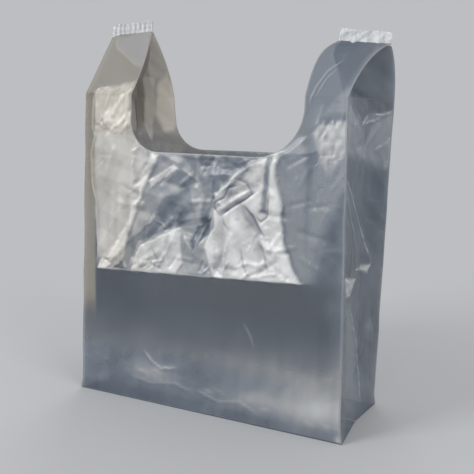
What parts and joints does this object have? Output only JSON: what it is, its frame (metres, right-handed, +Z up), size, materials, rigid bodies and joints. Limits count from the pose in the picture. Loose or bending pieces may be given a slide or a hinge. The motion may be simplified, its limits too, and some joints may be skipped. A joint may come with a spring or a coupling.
{
  "type": "plastic carrier bag",
  "caption": "Clear plastic film vest bag standing open on its boxed base, with folded side gussets and handles gathered into crimped welds.",
  "frame": {"origin": "middle of the base's underside, on the surface that the bag stands on", "axes": "+Z up towards the handles, front panel faces -Y, +X towards the handle that is on the right as seen from the front"},
  "size_m": [0.3039, 0.1183, 0.4013],
  "materials": {
    "film": "clear polyethylene film, glossy, with foil-like crumples under the mouth"
  },
  "bodies": {
    "root": {"film_bag": "film"}
  },
  "joints": []
}
